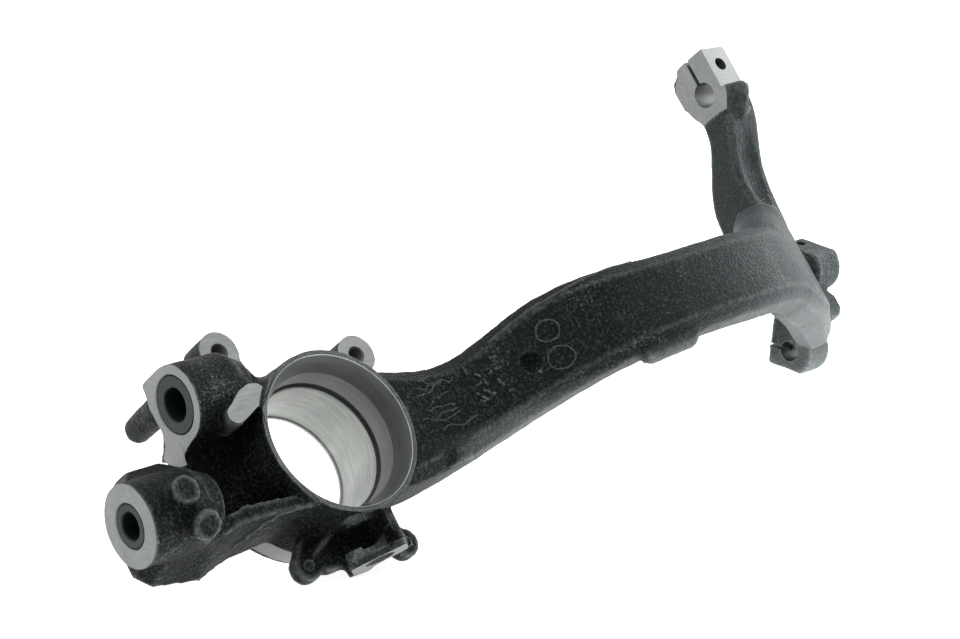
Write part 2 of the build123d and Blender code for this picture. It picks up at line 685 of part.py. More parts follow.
def sensor_rib():
    """Wall tying the upper end of the sensor pad to the housing and the skirt."""
    near_x = RIM_BORE_R
    far_x = SENSOR_FACE_X - SENSOR_RIB_SET_BACK
    near_y = SENSOR_RIB_Y
    far_y = SHIELD_Y + SHIELD_THICKNESS / 2
    wall = Box(far_x - near_x, far_y - near_y, SENSOR_RIB_THICKNESS)
    return Pos((near_x + far_x) / 2, (near_y + far_y) / 2, SENSOR_RIB_Z) * wall


def shield_skirt():
    """Plate between the two shield tabs, beside the sensor pad."""
    skirt = Polyline(
        (RIM_BORE_R, 0),
        (RIM_BORE_R, LOWER_SHIELD_Z),
        (LOWER_SHIELD_X, LOWER_SHIELD_Z - SHIELD_LUG_R),
        (SENSOR_FACE_X - SKIRT_SET_BACK, SENSOR_Z - SENSOR_PAD_LENGTH / 2),
        (UPPER_SHIELD_X, UPPER_SHIELD_Z),
        (RIM_BORE_R, 0),
    )
    plate = Plane.XZ.offset(-SHIELD_Y - SHIELD_THICKNESS) * make_face(skirt)
    return extrude(plate, SHIELD_THICKNESS)


def sensor_hole():
    """Sensor bore from the pad into the housing."""
    length = SENSOR_FACE_X
    return Pos(length, SENSOR_Y, SENSOR_Z) * Rot(0, 90, 0) * Cylinder(SENSOR_HOLE_R, length)


def spot_face():
    """Small milled pad between the rear boss and the rim."""
    face = Plane(origin=(SPOT_X, SPOT_FACE_Y, SPOT_Z), x_dir=(1, 0, 0), z_dir=(0, -1, 0))
    pad = face * Rot(0, 0, SPOT_DEG) * SlotOverall(SPOT_LENGTH, SPOT_WIDTH)
    return extrude(pad, -SPOT_DEPTH)


rear_seat = (REAR_BOSS_X, REAR_BOSS_Y, REAR_BOSS_FACE_Z)
front_seat = (FRONT_BOSS_X, FRONT_BOSS_Y, FRONT_BOSS_FACE_Z)

casting = (
    housing()
    + neck()
    + head()
    + pinch_clamp(REAR_CLAMP_X, REAR_CLAMP_Y)
    + pinch_clamp(FRONT_CLAMP_X, FRONT_CLAMP_Y)
    + neck_lugs()
    + clamp_web()
    + steering_arm()
    + tie_clamp()
    + rear_boss()
    + ball_joint_boss(*front_seat, FRONT_BOSS_R, FRONT_BOSS_LENGTH)
    + lower_web()
    + lower_flange()
    + boss_lump()
    + boss_pad(SIDE_PAD_Z, SIDE_PAD_DEG, SIDE_PAD_R)
    + boss_pad(FRONT_PAD_Z, FRONT_PAD_DEG, FRONT_PAD_R)
    + ear(LOWER_EAR_X, LOWER_EAR_Z)
    + ear(UPPER_EAR_X, UPPER_EAR_Z)
    + boss_stub()
    + shield_tab(LOWER_SHIELD_X, LOWER_SHIELD_Z)
    + shield_tab(UPPER_SHIELD_X, UPPER_SHIELD_Z)
    + sensor_pad()
    + sensor_rib()
    + shield_skirt()
    + spot_face()
)
casting = (
    casting
    - bearing_bore()
    - pinch_clamp_cuts(REAR_CLAMP_X, REAR_CLAMP_Y)
    - pinch_clamp_cuts(FRONT_CLAMP_X, FRONT_CLAMP_Y)
    - pinch_bolt_hole()
    - arm_pocket()
    - tie_clamp_cuts()
    - bush_seat(*rear_seat, REAR_BUSH_R, REAR_BUSH_LENGTH)
    - bush_seat(*front_seat, FRONT_BUSH_R, FRONT_BUSH_LENGTH)
    - ear_hole(LOWER_EAR_X, LOWER_EAR_Z)
    - ear_hole(UPPER_EAR_X, UPPER_EAR_Z)
    - shield_hole(LOWER_SHIELD_X, LOWER_SHIELD_Z)
    - shield_hole(UPPER_SHIELD_X, UPPER_SHIELD_Z)
    - sensor_hole()
)

to_origin = Pos(0, -SEAT_MIDDLE_Y, 0)
rear_bush = bush(*rear_seat, REAR_BUSH_R, REAR_BUSH_BORE_R, REAR_BUSH_LENGTH)
front_bush = bush(*front_seat, FRONT_BUSH_R, FRONT_BUSH_BORE_R, FRONT_BUSH_LENGTH)

export_step(to_origin * casting, "parts/knuckle_casting.step")
export_step(to_origin * rear_bush, "parts/rear_ball_joint_bush.step")
export_step(to_origin * front_bush, "parts/front_ball_joint_bush.step")
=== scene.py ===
import json
import math

import bmesh
import bpy
import numpy as np
from mathutils import Matrix, Vector, noise
from mathutils.bvhtree import BVHTree


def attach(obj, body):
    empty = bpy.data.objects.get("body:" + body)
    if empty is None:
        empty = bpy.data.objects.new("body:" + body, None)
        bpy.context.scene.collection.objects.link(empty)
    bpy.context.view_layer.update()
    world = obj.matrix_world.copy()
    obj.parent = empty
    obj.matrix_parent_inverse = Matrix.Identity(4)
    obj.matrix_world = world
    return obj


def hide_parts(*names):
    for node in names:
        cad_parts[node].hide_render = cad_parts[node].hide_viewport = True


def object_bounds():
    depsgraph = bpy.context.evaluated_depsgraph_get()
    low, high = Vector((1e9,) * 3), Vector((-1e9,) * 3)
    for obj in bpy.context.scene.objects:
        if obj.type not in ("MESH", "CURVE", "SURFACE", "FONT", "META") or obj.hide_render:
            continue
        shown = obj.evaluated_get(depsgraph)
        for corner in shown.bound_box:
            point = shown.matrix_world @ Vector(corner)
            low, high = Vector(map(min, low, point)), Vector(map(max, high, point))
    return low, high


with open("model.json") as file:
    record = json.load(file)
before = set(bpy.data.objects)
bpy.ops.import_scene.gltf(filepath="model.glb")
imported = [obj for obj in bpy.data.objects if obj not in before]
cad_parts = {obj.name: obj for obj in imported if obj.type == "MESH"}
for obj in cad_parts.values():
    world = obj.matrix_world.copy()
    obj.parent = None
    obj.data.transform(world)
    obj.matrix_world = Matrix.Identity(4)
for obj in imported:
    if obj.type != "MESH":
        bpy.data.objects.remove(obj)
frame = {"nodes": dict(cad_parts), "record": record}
cad_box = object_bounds()

# ---------------------------------------------------------------------------
# Casting. Ductile iron poured in sand as one piece, so every inside corner has a
# fillet and every outer edge is soft. It is dipped in a black coating, and its
# faces and bores are machined bare after that.
# ---------------------------------------------------------------------------


def new_material(name):
    """An empty node material with its Principled shader, its node list and its links."""
    material = bpy.data.materials.new(name)
    material.use_nodes = True
    nodes = material.node_tree.nodes
    return material, nodes["Principled BSDF"], nodes, material.node_tree.links


def object_noise(nodes, links, scale, detail, roughness=0.55, stretch=(1, 1, 1)):
    """Noise on Object coordinates, scale in features per metre; returns its output socket."""
    place = nodes.new("ShaderNodeTexCoord")
    mapping = nodes.new("ShaderNodeMapping")
    mapping.inputs["Scale"].default_value = stretch
    pattern = nodes.new("ShaderNodeTexNoise")
    pattern.inputs["Scale"].default_value = scale
    pattern.inputs["Detail"].default_value = detail
    pattern.inputs["Roughness"].default_value = roughness
    links.new(place.outputs["Object"], mapping.inputs["Vector"])
    links.new(mapping.outputs["Vector"], pattern.inputs["Vector"])
    return pattern.outputs["Fac"]


def ramp(nodes, links, source, stops):
    """Colour ramp over a socket; stops are (position, colour) pairs."""
    blend = nodes.new("ShaderNodeValToRGB")
    blend.color_ramp.elements[0].position = stops[0][0]
    blend.color_ramp.elements[0].color = (*stops[0][1], 1)
    blend.color_ramp.elements[1].position = stops[-1][0]
    blend.color_ramp.elements[1].color = (*stops[-1][1], 1)
    for position, colour in stops[1:-1]:
        blend.color_ramp.elements.new(position).color = (*colour, 1)
    links.new(source, blend.inputs["Fac"])
    return blend.outputs["Color"]


def combine(nodes, links, operation, first, second):
    """Math node over two sockets; returns its output socket."""
    both = nodes.new("ShaderNodeMath")
    both.operation = operation
    links.new(first, both.inputs[0])
    links.new(second, both.inputs[1])
    return both.outputs[0]


def climb(nodes, links, source, low, high, least=0.0):
    """Map Range node that climbs from least to 1 as its source goes from low to high."""
    span = nodes.new("ShaderNodeMapRange")
    span.inputs["From Min"].default_value = low
    span.inputs["From Max"].default_value = high
    span.inputs["To Min"].default_value = least
    links.new(source, span.inputs["Value"])
    return span.outputs[0]


def bump(nodes, links, heights, shader):
    """Chains bump nodes, one for each (height socket, depth in metres), into the shader's normal."""
    previous = None
    for height, depth in heights:
        relief = nodes.new("ShaderNodeBump")
        relief.inputs["Distance"].default_value = depth
        relief.inputs["Strength"].default_value = 1.0
        links.new(height, relief.inputs["Height"])
        if previous:
            links.new(previous, relief.inputs["Normal"])
        previous = relief.outputs["Normal"]
    links.new(previous, shader.inputs["Normal"])


def coating_material(name, dark, middle, light, edge_highlight):
    """Nearly matt black dip, dark in the sand skin's pits and light on its grain.

    Edge highlight is the grey painted on its outer edges as a highlight.
    """
    material, shader, nodes, links = new_material(name)
    black = (0, 0, 0)
    grain = object_noise(nodes, links, 1100, 2)
    pits = object_noise(nodes, links, 600, 2)
    patches = object_noise(nodes, links, 40, 3)
    chips = object_noise(nodes, links, 900, 2)
    tone = ramp(nodes, links, pits, [(0.40, dark), (0.53, middle), (0.66, light)])
    speck_grey = (0.10, 0.108, 0.105)
    specks = ramp(nodes, links, chips, [(0.67, black), (0.75, speck_grey)])
    # Chips crowd together where the coat is worn.
    crowd = combine(nodes, links, "MULTIPLY", chips, patches)
    worn_grey = (0.07, 0.077, 0.075)
    worn = ramp(nodes, links, crowd, [(0.34, black), (0.40, worn_grey)])
    # Painted sheen: the coat is made greyer towards the head, a little less on the arm, standing in
    # for light on the upper neck.
    place = nodes.new("ShaderNodeTexCoord")
    where = nodes.new("ShaderNodeSeparateXYZ")
    links.new(place.outputs["Object"], where.inputs["Vector"])
    head_sheen_height = climb(nodes, links, where.outputs["Z"], 0.165, 0.29)
    sheen_off_arm = climb(nodes, links, where.outputs["X"], -0.06, -0.035, least=0.75)
    painted_sheen_mask = combine(nodes, links, "MULTIPLY", head_sheen_height, sheen_off_arm)
    head_sheen_grey = (0.055, 0.065, 0.067)
    painted_head_sheen = ramp(nodes, links, painted_sheen_mask, [(0, black), (1, head_sheen_grey)])
    # Painted sheen as well along the neck's front edge above the housing, standing in for light on
    # its lower band.
    near_edge = climb(nodes, links, where.outputs["X"], 0.018, 0.026)
    above = climb(nodes, links, where.outputs["Z"], 0.050, 0.110)
    edge = combine(nodes, links, "MULTIPLY", near_edge, above)
    band_sheen_grey = (0.095, 0.103, 0.101)
    painted_band_sheen = ramp(nodes, links, edge, [(0, black), (1, band_sheen_grey)])
    # Painted highlight: the outer edges are made lighter, standing in for light catching them.
    shape = nodes.new("ShaderNodeNewGeometry")
    edge_highlight_grey = (edge_highlight, edge_highlight * 1.08, edge_highlight * 1.07)
    painted_edge_highlight = ramp(nodes, links, shape.outputs["Pointiness"], [(0.508, black), (0.56, edge_highlight_grey)])
    for extra in (specks, worn, painted_head_sheen, painted_band_sheen, painted_edge_highlight):
        add = nodes.new("ShaderNodeMix")
        add.data_type = "RGBA"
        add.blend_type = "ADD"
        add.inputs["Factor"].default_value = 1.0
        links.new(tone, add.inputs[6])
        links.new(extra, add.inputs[7])
        tone = add.outputs[2]
    links.new(tone, shader.inputs["Base Color"])
    gloss = ramp(nodes, links, pits, [(0.35, (0.38,) * 3), (0.65, (0.55,) * 3)])
    links.new(gloss, shader.inputs["Roughness"])
    shader.inputs["Specular IOR Level"].default_value = 0.09
    shader.inputs["Specular Tint"].default_value = (0.88, 0.96, 1.0, 1)
    pit_depth = 0.0024
    grain_depth = 0.0009
    bump(nodes, links, [(pits, pit_depth), (grain, grain_depth)], shader)
    return material


coating = coating_material(
    "black_coating", dark=(0.0006, 0.0009, 0.0009), middle=(0.0050, 0.0064, 0.0064),
    light=(0.035, 0.041, 0.041), edge_highlight=0.15,
)


def bare_metal(name, light, dark, roughness, tool_scale, tool_stretch, tool_depth, shine=0.5):
    """Bare machined metal, partly metallic, with fine tool marks running one way."""
    material, shader, nodes, links = new_material(name)
    marks = object_noise(nodes, links, tool_scale, 2, 0.6, tool_stretch)
    stain = object_noise(nodes, links, 60, 4)
    blend = nodes.new("ShaderNodeMix")
    blend.inputs["Factor"].default_value = 0.35
    links.new(marks, blend.inputs[2])
    links.new(stain, blend.inputs[3])
    tone = ramp(nodes, links, blend.outputs[0], [(0.38, dark), (0.62, light)])
    links.new(tone, shader.inputs["Base Color"])
    shader.inputs["Metallic"].default_value = 0.35
    shader.inputs["Specular IOR Level"].default_value = shine
    smooth = (roughness - 0.06,) * 3
    rough = (roughness + 0.08,) * 3
    gloss = ramp(nodes, links, marks, [(0.3, smooth), (0.7, rough)])
    links.new(gloss, shader.inputs["Roughness"])
    bump(nodes, links, [(marks, tool_depth)], shader)
    return material


milled = bare_metal(
    "milled_iron", light=(0.25, 0.264, 0.256), dark=(0.175, 0.186, 0.18), roughness=0.5,
    tool_scale=700, tool_stretch=(1, 1, 0.2), tool_depth=0.00006,
)
turned = bare_metal(
    "turned_iron", light=(0.56, 0.58, 0.55), dark=(0.33, 0.345, 0.33), roughness=0.45,
    tool_scale=1300, tool_stretch=(0.04, 1, 0.04), tool_depth=0.00012,
)
reamed = bare_metal(
    "reamed_iron", light=(0.24, 0.25, 0.24), dark=(0.18, 0.19, 0.18), roughness=0.48,
    tool_scale=600, tool_stretch=(0.1, 1, 0.1), tool_depth=0.00005,
)
cone_iron = bare_metal(
    "cone_iron", light=(0.10, 0.107, 0.101), dark=(0.075, 0.081, 0.076), roughness=0.48,
    tool_scale=500, tool_stretch=(0.1, 1, 0.1), tool_depth=0.00004,
)
# The bushes' dark steel; the upper clamp bores are as dark.
bush_steel = bare_metal(
    "bush_steel", light=(0.026, 0.031, 0.033), dark=(0.018, 0.022, 0.024), roughness=0.36,
    tool_scale=800, tool_stretch=(1, 1, 0.1), tool_depth=0.00004, shine=0.15,
)

MM = 0.001
mounts = {mount["name"]: mount for mount in frame["record"]["mounts"]}
down = Vector((0, 0, -1))
inboard = Vector((0, -1, 0))


def sleeve(shell, rings, slots):
    """Joins each ring of vertices to the next by a band of faces; slots has a material for each."""
    for near, far, slot in zip(rings, rings[1:], slots):
        sides = len(near)
        for side in range(sides):
            after = (side + 1) % sides
            face = shell.faces.new((near[side], near[after], far[after], far[side]))
            face.material_index = slot


def lathe(shell, start, axis, profile, sides=64):
    """Adds a closed turned solid; profile lists (distance along the axis, radius, material index)."""
    turn = Vector(axis).to_track_quat("Z", "Y").to_matrix()
    rings = []
    for along, radius, slot in profile:
        ring = []
        for side in range(sides):
            angle = 2 * math.pi * side / sides
            spot = Vector((radius * math.cos(angle), radius * math.sin(angle), along))
            ring.append(shell.verts.new(Vector(start) + turn @ spot))
        rings.append(ring)
    slots = [slot for along, radius, slot in profile]
    shell.faces.new(reversed(rings[0])).material_index = slots[0]
    shell.faces.new(rings[-1]).material_index = slots[-1]
    sleeve(shell, rings, slots[1:])


def hoop(shell, section, sides, place):
    """Adds a closed turned ring with that (distance along, radius) section, in millimetres.

    Place turns a distance along the axis and two across it into a position.
    """
    rings = []
    for along, radius in section:
        ring = []
        for side in range(sides):
            angle = 2 * math.pi * side / sides
            spot = place(along, radius * math.cos(angle), radius * math.sin(angle))
            ring.append(shell.verts.new(spot))
        rings.append(ring)
    sleeve(shell, rings + rings[:1], [0] * len(rings))


def rod(shell, start, end, radius, sides=64):
    """Adds a closed round rod between two points."""
    run = Vector(end) - Vector(start)
    lathe(shell, start, run, [(0, radius, 0), (run.length, radius, 0)], sides)


def block(shell, centre, size, turn=Matrix.Identity(4)):
    """Adds a closed box of that size, turned about its own centre."""
    scale = Matrix.Diagonal((*size, 1))
    bmesh.ops.create_cube(shell, size=1, matrix=Matrix.Translation(centre) @ turn @ scale)


def mount_ends(name, beyond):
    """Start, end and radius of a stated bore, carried on past both its mouths."""
    mount = mounts[name]
    middle = Vector(mount["pos_m"])
    reach = Vector(mount["axis"]).normalized() * (mount["dims"]["length_mm"] * MM / 2 + beyond)
    return middle - reach, middle + reach, mount["dims"]["r_mm"] * MM


def to_mesh(shell, name):
    """Turns a bmesh into an object at the origin."""
    mesh = bpy.data.meshes.new(name)
    bmesh.ops.recalc_face_normals(shell, faces=shell.faces)
    shell.to_mesh(mesh)
    shell.free()
    thing = bpy.data.objects.new(name, mesh)
    bpy.context.scene.collection.objects.link(thing)
    return thing


def apply_modifiers(thing):
    """Makes the modified form the object's own mesh."""
    graph = bpy.context.evaluated_depsgraph_get()
    done = bpy.data.meshes.new_from_object(thing.evaluated_get(graph))
    thing.modifiers.clear()
    old = thing.data
    thing.data = done
    done.name = thing.name
    bpy.data.meshes.remove(old)


pattern = bmesh.new()
pattern.from_mesh(frame["nodes"]["knuckle_casting"].data)
weld_distance = 0.002 * MM
bmesh.ops.remove_doubles(pattern, verts=pattern.verts, dist=weld_distance)

# Cores left in: every bore and slit is solid in the pattern and is cut later.
rim_y = -45 * MM
barrel_end_y = 19.5 * MM
face_stock = 4.0 * MM
core_overlap = 0.5 * MM
cores = (
    (rim_y - face_stock, rim_y + face_stock, 44.8 * MM),
    (rim_y, 0, 43.0 * MM),
    (0, barrel_end_y + face_stock, 47.0 * MM),
)
for start_y, end_y, radius in cores:
    rod(pattern, (0, start_y, 0), (0, end_y, 0), radius, sides=128)
through_holes = (
    "rear_upper_arm_clamp", "front_upper_arm_clamp", "tie_rod_clamp", "upper_pinch_bolt_hole",
    "tie_rod_pinch_bolt_hole", "lower_caliper_hole", "upper_caliper_hole", "lower_shield_hole",
    "upper_shield_hole", "speed_sensor_bore",
)
for name in through_holes:
    start, end, radius = mount_ends(name, 0)
    rod(pattern, start, end, radius + core_overlap)
clamp_height = 21 * MM
slit_turn = Matrix.Rotation(math.radians(135), 4, "Z")
slit_run = Vector((-math.sqrt(0.5), math.sqrt(0.5), 0))
slit_length = 32 * MM
slit_core = 4 * MM
rear_clamp = Vector(mounts["rear_upper_arm_clamp"]["pos_m"])
front_clamp = Vector(mounts["front_upper_arm_clamp"]["pos_m"])
rear_clamp.z = front_clamp.z
for clamp in (rear_clamp, front_clamp):
    block(pattern, clamp + slit_run * 8 * MM, (15 * MM, slit_core, clamp_height), slit_turn)
tie = Vector(mounts["tie_rod_clamp"]["pos_m"])
tie_height = 20.5 * MM
tie_bottom_z = tie.z - tie_height / 2
block(pattern, tie + Vector((-12, 0, 0)) * MM, (25 * MM, slit_core, tie_height))

# Stock to machine away: on the ball joint bosses, the ears and the tie rod clamp.
bush_drop = 0.3
boss_depth = 31
rear_seat_radius = 15.4
front_seat_radius = 11.5
rear_face = Vector(mounts["rear_ball_joint_seat"]["pos_m"]) + down * bush_drop * MM
front_face = Vector(mounts["front_ball_joint_seat"]["pos_m"]) + down * bush_drop * MM
for face, radius in ((rear_face, 20.5 * MM), (front_face, 21.0 * MM)):
    rod(pattern, face - down * boss_depth * MM, face + down * face_stock, radius)
rear_block = rear_face + Vector((-7.3, 9.5, 0)) * MM
block(pattern, rear_block, (26.4 * MM, 19 * MM, 2 * face_stock))
ears = ("lower_caliper_hole", "upper_caliper_hole")
ear_face_y = -15 * MM
for name in ears:
    face = Vector(mounts[name]["pos_m"])
    face.y = ear_face_y
    rod(pattern, face - inboard * 6 * MM, face + inboard * face_stock, 11.5 * MM)
rod(pattern, tie, tie + down * (tie_height / 2 + face_stock), 17.8 * MM)
block(
    pattern, (tie.x - 12.2 * MM, tie.y - 3.2 * MM, tie_bottom_z), (25 * MM, 28 * MM, 2 * face_stock)
)
block(pattern, (tie.x - 11.5 * MM, tie.y - 12 * MM, tie.z), (25 * MM, 14 * MM, tie_height))

# Small rods: the front shield lug's rib, then the nut lug and knob behind the tie rod clamp.
small_rods = (
    ((40.5, -24, -12), (51.4, -16.5, -30.2), 2.2),
    ((-126, -77, 368), (-121, -83, 377), 6.3),
    ((-118, -77, 369), (-109, -78, 373), 4.3),
)
for start, end, radius in small_rods:
    rod(pattern, Vector(start) * MM, Vector(end) * MM, radius * MM)
# Two locating pads on the side of the long boss.
pads = ((-104, -96, 7.6, 27.0), (-99, -54, 7.8, 28.6))
for pad_z, pad_angle, pad_radius, pad_reach in pads:
    out = Vector((math.cos(math.radians(pad_angle)), math.sin(math.radians(pad_angle)), 0))
    pad = Vector((front_face.x, front_face.y, pad_z * MM))
    rod(pattern, pad, pad + out * pad_reach * MM, pad_radius * MM)
sensor = Vector(mounts["speed_sensor_bore"]["pos_m"])
sensor_face_x = 67.5 * MM
sensor_turn = Matrix.Rotation(math.radians(127), 4, "X")
sensor_pad = (8 * MM, 30 * MM, 19 * MM)
block(pattern, (sensor_face_x - 2 * MM, sensor.y, sensor.z), sensor_pad, sensor_turn)
milled_spot = Vector((-27, -45.5, -47)) * MM
spot_lie = Matrix.Rotation(math.radians(-27), 4, "Y") @ Matrix.Rotation(math.radians(90), 4, "X")


def spot_disc(shell, middle, width, length, depth):
    """Adds an upright oval slab lying along the small milled spot."""
    size = Matrix.Diagonal((width / 2, length / 2, depth, 1))
    bmesh.ops.create_cone(
        shell, cap_ends=True, segments=48, radius1=1, radius2=1, depth=1,
        matrix=Matrix.Translation(middle) @ spot_lie @ size,
    )


spot_disc(pattern, milled_spot - inboard * 2 * MM, 11 * MM, 25 * MM, 9 * MM)

casting = to_mesh(pattern, "knuckle")
skin = casting.modifiers.new("skin", "REMESH")
skin.mode = "VOXEL"
skin.voxel_size = 1.5 * MM
apply_modifiers(casting)
shape = casting.data
count = len(shape.vertices)
spots = np.empty(count * 3)
ends = np.empty(len(shape.edges) * 2, dtype=int)
shape.edges.foreach_get("vertices", ends)
ends = ends.reshape(-1, 2)
tails = np.concatenate((ends[:, 0], ends[:, 1]))
heads = np.concatenate((ends[:, 1], ends[:, 0]))
links_each = np.bincount(tails, minlength=count)[:, None]
fillet_passes = 9
edge_passes = 2
for step in range(fillet_passes):
    # Inside corners are rounded by every pass, outer edges only by the first few.
    normals = np.empty(count * 3)
    shape.vertices.foreach_get("co", spots)
    shape.vertices.foreach_get("normal", normals)
    place = spots.reshape(-1, 3)
    total = np.stack([np.bincount(tails, place[heads, axis], count) for axis in range(3)], axis=1)
    move = total / links_each - place
    inward = (move * normals.reshape(-1, 3)).sum(axis=1) > 0
    ease = np.where(inward, 0.6, 0.5 if step < edge_passes else 0.0)
    shape.vertices.foreach_set("co", (place + move * ease[:, None]).ravel())
    shape.update()
# The arm runs into the neck without a step.
arm_root = np.array((-40, -86, 312)) * MM
arm_root_reach = 26 * MM
arm_root_passes = 150
shape.vertices.foreach_get("co", spots)
place = spots.reshape(-1, 3)
away = np.linalg.norm(place - arm_root, axis=1) / arm_root_reach
ease = np.clip(1.4 - away, 0, 0.6)[:, None]
local = ease[tails, 0] > 0
for step in range(arm_root_passes):
    total = np.stack(
        [np.bincount(tails[local], place[heads[local], axis], count) for axis in range(3)], axis=1
    )
    place = np.where(ease > 0, place + (total / links_each - place) * ease, place)
shape.vertices.foreach_set("co", place.ravel())
shape.update()
# The sand leaves the skin uneven: waves as (number per metre, height in millimetres).
sand_waves = ((90, 0.35), (260, 0.15))
for vert, normal in zip(shape.vertices, [vert.normal.copy() for vert in shape.vertices]):
    wave = sum(noise.noise(vert.co * scale) * height for scale, height in sand_waves)
    vert.co += normal * wave * MM
    for axis in range(3):
        vert.co[axis] = min(max(vert.co[axis], cad_box[0][axis]), cad_box[1][axis])
casting.data.materials.clear()
casting.data.materials.append(coating)


def machine(cutter, *materials):
    """Takes a closed cutter away from the casting; the new faces get the cutter's materials."""
    tool = to_mesh(cutter, "tool")
    for material in materials:
        tool.data.materials.append(material)
    cut = casting.modifiers.new("cut", "BOOLEAN")
    cut.operation = "DIFFERENCE"
    cut.solver = "EXACT"
    cut.material_mode = "TRANSFER"
    cut.object = tool
    apply_modifiers(casting)
    bpy.data.objects.remove(tool)


def cut_rod(material, start, end, radius, sides=64):
    """Machines the casting with a cutter that is one round rod."""
    tool = bmesh.new()
    rod(tool, start, end, radius, sides)
    machine(tool, material)


def cut_block(material, centre, size, turn=Matrix.Identity(4)):
    """Machines the casting with a cutter that is one box."""
    tool = bmesh.new()
    block(tool, centre, size, turn)
    machine(tool, material)


def bored(name, material, beyond=8 * MM):
    """Bores one stated hole right through."""
    start, end, radius = mount_ends(name, beyond)
    cut_rod(material, start, end, radius)


# Bearing bore: coated rim, bright edge, dark entry cone, relief, circlip groove, seat, lip.
# Each step is (distance from the rim, radius, slot: 0 turned, 1 cone, 2 reamed).
cut_rod(coating, (0, rim_y - 9 * MM, 0), (0, rim_y, 0), 47 * MM, sides=128)
bore_steps = (
    (-9, 42.35, 0), (0, 42.35, 0), (0.35, 42.0, 0), (12, 37.6, 1), (24.5, 37.6, 2), (24.5, 38.4, 2),
    (27.5, 38.4, 1), (27.5, 36.6, 1), (28.1, 36.0, 0), (62.5, 36.0, 0), (62.5, 35.0, 0),
    (64.0, 35.0, 0), (66.0, 37.0, 0), (75.0, 37.0, 0),
)
tool = bmesh.new()
lathe(
    tool, (0, rim_y, 0), (0, 1, 0),
    [(along * MM, radius * MM, slot) for along, radius, slot in bore_steps], sides=160,
)
machine(tool, turned, cone_iron, reamed)

# Outboard end of the barrel: faced, and turned down outside where nothing joins it.
cut_rod(milled, (0, barrel_end_y, 0), (0, barrel_end_y + 9 * MM, 0), 60 * MM, sides=128)
turned_section = ((1.2, 49.6), (25, 47.6), (25, 60), (1.2, 60))
turned_below_z = -14 * MM
tool = bmesh.new()
hoop(tool, turned_section, 128, lambda along, across, up: Vector((across, along, up)) * MM)
bmesh.ops.bisect_plane(
    tool, geom=tool.verts[:] + tool.edges[:] + tool.faces[:], plane_co=(0, 0, turned_below_z),
    plane_no=(0, 0, 1), clear_outer=True,
)
bmesh.ops.holes_fill(tool, edges=tool.edges, sides=8)
machine(tool, reamed)

# Faces milled on both ball joint bosses, with a blind seat for each bush.
bosses = ((rear_face, 30, rear_seat_radius), (front_face, 27, front_seat_radius))
for face, outline_radius, seat_radius in bosses:
    cut_rod(milled, face, face + down * 14 * MM, outline_radius * MM, sides=96)
    tool = bmesh.new()
    lathe(
        tool, face + down * 2 * MM, -down,
        [(0, (seat_radius + 0.5) * MM, 0), (2 * MM, (seat_radius + 0.5) * MM, 0),
         (2.5 * MM, seat_radius * MM, 0), (32.3 * MM, seat_radius * MM, 1)],
    )
    machine(tool, milled, cone_iron)
# The tail behind the rear boss is milled in the same plane.
tail = rear_face + Vector((10, 18, -7)) * MM
cut_block(milled, tail, (36 * MM, 32 * MM, 14 * MM))

# Ears for the brake caliper: spot-faced and tapped.
thread_pitch = 1.5 * MM
thread_depth = 0.7 * MM
thread_turns = 26
for name in ears:
    start, end, radius = mount_ends(name, 14 * MM)
    face = Vector((start.x, ear_face_y, start.z))
    cut_rod(milled, face, face + inboard * 12 * MM, 14 * MM)
    crest = radius + thread_depth
    turns = [(-6 * MM, crest, 0), (0.2 * MM, crest, 0)]
    for turn in range(thread_turns):
        turns.append(((turn + 0.5) * thread_pitch, radius, 0))
        turns.append(((turn + 1) * thread_pitch, crest, 0))
    tool = bmesh.new()
    lathe(tool, face, -inboard, turns, sides=40)
    machine(tool, cone_iron)

# Tie rod clamp: both faces milled, bored, drilled for its pinch bolt and split.
cut_block(
    milled, (tie.x - 6 * MM, tie.y - 0.1 * MM, tie_bottom_z - 6 * MM), (44 * MM, 44 * MM, 12 * MM)
)
cut_block(milled, (tie.x - 12 * MM, tie.y - 21 * MM, tie.z), (30 * MM, 12 * MM, 40 * MM))
bored("tie_rod_clamp", cone_iron)
bored("tie_rod_pinch_bolt_hole", cone_iron)
cut_block(cone_iron, tie + Vector((-25, 0, 0)) * MM, (50 * MM, 2.6 * MM, 2 * tie_height))

# Upper clamps: bored for the ball joint pins, drilled across, and split outboard.
bored("rear_upper_arm_clamp", bush_steel)
bored("front_upper_arm_clamp", bush_steel)
bored("upper_pinch_bolt_hole", cone_iron, 13 * MM)
slit = (slit_length, 2.4 * MM, 2 * clamp_height)
for clamp in (rear_clamp, front_clamp):
    cut_block(cone_iron, clamp + slit_run * slit_length / 2, slit, slit_turn)

# Sensor pad and the thin recess beside it, shield holes, and the spot beside the rim.
cut_block(
    cone_iron, (sensor_face_x + 5 * MM, sensor.y, sensor.z), (10 * MM, 50 * MM, 50 * MM)
)
cut_block(coating, Vector((59, -45, -13.5)) * MM, (9.6 * MM, 18 * MM, 33 * MM))
bored("speed_sensor_bore", coating, 26 * MM)
bored("lower_shield_hole", coating)
bored("upper_shield_hole", coating)
tool = bmesh.new()
spot_disc(tool, milled_spot + inboard * 4 * MM, 16 * MM, 32 * MM, 8 * MM)
machine(tool, milled)
# A dimple cast in the neck's inboard face.
dimple = Vector((0, -67.5, 120)) * MM
tool = bmesh.new()
bmesh.ops.create_icosphere(
    tool, subdivisions=4, radius=7.5 * MM, matrix=Matrix.Translation(dimple)
)
machine(tool, coating)

# The cast marks below are laid on this skin.
surface = BVHTree.FromObject(casting, bpy.context.evaluated_depsgraph_get())
casting.data.validate()
casting.data.shade_smooth()
casting.data.set_sharp_from_angle(angle=math.radians(35))
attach(casting, "root")
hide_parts("knuckle_casting")

